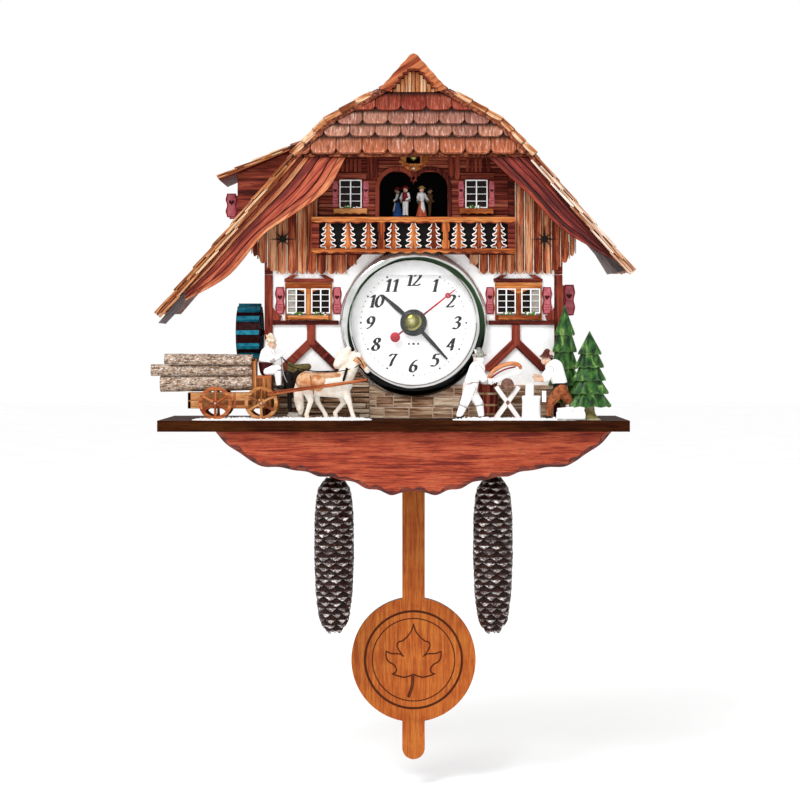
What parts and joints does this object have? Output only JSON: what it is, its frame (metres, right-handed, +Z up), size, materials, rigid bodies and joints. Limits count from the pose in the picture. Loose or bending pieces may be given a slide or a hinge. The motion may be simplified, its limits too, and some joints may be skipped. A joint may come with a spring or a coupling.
{
  "type": "pendulum wall clock",
  "caption": "Chalet-shaped pendulum wall clock with a shingled roof, balcony, dancers' niche, cuckoo, mill wheel, carved shelf scene, hanging cones and a disc pendulum.",
  "frame": {"origin": "centre of the hanging hole's mouth, on the wall's surface", "axes": "+X to the viewer's right, +Y into the wall, +Z up"},
  "size_m": [0.238, 0.062, 0.3583],
  "materials": {
    "inner_wood": "bare plywood",
    "steel": "zinc-plated",
    "plank_wood": "red-brown stained planks",
    "plaster": "white painted board",
    "timber_wood": "dark red-brown stain",
    "painted_stone": "painted stone courses",
    "board_wood": "orange-brown stained boards",
    "ornament_black": "black paint",
    "shingle_wood": "weathered brown shingles",
    "figure_paint": "hand-painted moulding",
    "inner_plastic": "moulded black plastic",
    "bird_paint": "painted olive",
    "ornament_wood": "light orange stain",
    "white_paint": "white paint",
    "dark_glass": "gloss black",
    "shutter_paint": "faded red paint",
    "shelf_wood": "dark brown stain",
    "crest_wood": "red-brown stain, carved edge",
    "chrome": "polished",
    "clear_glass": "clear",
    "dial_white": "white printed dial",
    "copper": "enamelled wire",
    "hand_black": "black",
    "hand_red": "red",
    "brass": "polished",
    "battery_case": "printed sleeve, no marks",
    "pendulum_wood": "orange-brown varnish",
    "cone_brown": "dark brown moulded cone",
    "wheel_paint": "teal and dark red paint",
    "wagon_wood": "brown",
    "bark": "rough grey-brown bark",
    "horse_paint": "white with brown patches",
    "fir_green": "green paint"
  },
  "bodies": {
    "case": {"back_board": "inner_wood", "back_hatch": "inner_wood", "hatch_screws": "steel", "side_walls": "plank_wood", "lower_facade": "plaster", "upper_facade": "plank_wood", "timber_frame": "timber_wood", "stone_plinth": "painted_stone", "plank_cladding": "board_wood", "star_ornaments": "ornament_black", "roof_boards": "board_wood", "roof_shingles": "shingle_wood", "hip_shingles": "shingle_wood", "gable_cap": "board_wood", "bargeboards": "board_wood", "dormer_walls": "plank_wood", "dormer_roof": "shingle_wood", "balcony": "board_wood", "dance_niche": "ornament_black", "automaton_drive": "inner_plastic", "cuckoo_frame": "ornament_wood", "window_sashes": "white_paint", "window_panes": "dark_glass", "window_trim": "ornament_wood", "shutters": "shutter_paint", "shelf": "shelf_wood", "crest": "crest_wood", "insert_cup": "inner_plastic", "bezel": "chrome", "dial_lens": "clear_glass", "dial_plate": "dial_white", "movement_case": "inner_plastic", "movement_cover": "inner_plastic", "stepper_coil": "copper", "pendulum_drive": "inner_plastic", "battery": "battery_case", "cone_hooks": "steel", "wagon": "wagon_wood", "log_load": "bark", "driver": "figure_paint", "horse": "horse_paint", "sawyer": "figure_paint", "sawbuck": "figure_paint", "chopping_block": "figure_paint", "woodchopper": "figure_paint", "fir_trees": "fir_green"},
    "hour": {"hour_hand": "hand_black"},
    "minute": {"minute_hand": "hand_black"},
    "second": {"second_hand": "hand_red", "centre_cap": "brass"},
    "knob": {"setting_knob": "inner_plastic"},
    "pendulum": {"pendulum_hanger": "brass", "pendulum_bob": "pendulum_wood"},
    "bird": {"cuckoo_bird": "bird_paint"},
    "door": {"cuckoo_door": "ornament_wood"},
    "dance_table": {"turntable": "figure_paint", "dancers": "figure_paint"},
    "mill_wheel": {"water_wheel": "wheel_paint"},
    "cone_left": {"pine_cone_left": "cone_brown"},
    "cone_right": {"pine_cone_right": "cone_brown"}
  },
  "joints": [
    {"name": "second_hand_spin", "type": "hinge", "parent": "case", "child": "second", "pos_m": [0, -0.036, -0.0921], "axis": [0, 1, 0], "continuous": true},
    {"name": "minute_hand_spin", "type": "hinge", "parent": "case", "child": "minute", "pos_m": [0, -0.036, -0.0921], "axis": [0, 1, 0], "continuous": true},
    {"name": "hour_hand_spin", "type": "hinge", "parent": "case", "child": "hour", "pos_m": [0, -0.036, -0.0921], "axis": [0, 1, 0], "continuous": true},
    {"name": "setting_knob_turn", "type": "hinge", "parent": "case", "child": "knob", "pos_m": [0.009, -0.02, -0.1011], "axis": [0, 1, 0], "continuous": true},
    {"name": "pendulum_swing", "type": "hinge", "parent": "case", "child": "pendulum", "pos_m": [0, -0.0122, -0.104], "axis": [0, 1, 0], "range_deg": [-11, 11]},
    {"name": "cuckoo_slide", "type": "slide", "parent": "case", "child": "bird", "axis": [0, 1, 0], "range_m": [0, 0.012]},
    {"name": "cuckoo_door_swing", "type": "hinge", "parent": "case", "child": "door", "pos_m": [0.0037, -0.036, -0.009], "axis": [0, 0, 1], "range_deg": [-125, 0]},
    {"name": "dance_table_spin", "type": "hinge", "parent": "case", "child": "dance_table", "pos_m": [0, -0.02, -0.04], "axis": [0, 0, 1], "continuous": true},
    {"name": "mill_wheel_spin", "type": "hinge", "parent": "case", "child": "mill_wheel", "pos_m": [-0.083, -0.019, -0.097], "axis": [1, 0, 0], "continuous": true},
    {"name": "cone_left_swing", "type": "hinge", "parent": "case", "child": "cone_left", "pos_m": [-0.0396, -0.038, -0.15755], "axis": [0, 1, 0], "range_deg": [-6, 6]},
    {"name": "cone_right_swing", "type": "hinge", "parent": "case", "child": "cone_right", "pos_m": [0.0396, -0.038, -0.15755], "axis": [0, 1, 0], "range_deg": [-6, 6]}
  ],
  "couplings": [
    {"joint": "minute_hand_spin", "follows": "second_hand_spin", "ratio": 0.016667},
    {"joint": "hour_hand_spin", "follows": "second_hand_spin", "ratio": 0.0013889},
    {"joint": "setting_knob_turn", "follows": "second_hand_spin", "ratio": -0.0444},
    {"joint": "cuckoo_door_swing", "follows": "cuckoo_slide", "rad_per_m": -181.8},
    {"joint": "mill_wheel_spin", "follows": "dance_table_spin", "ratio": 1}
  ]
}
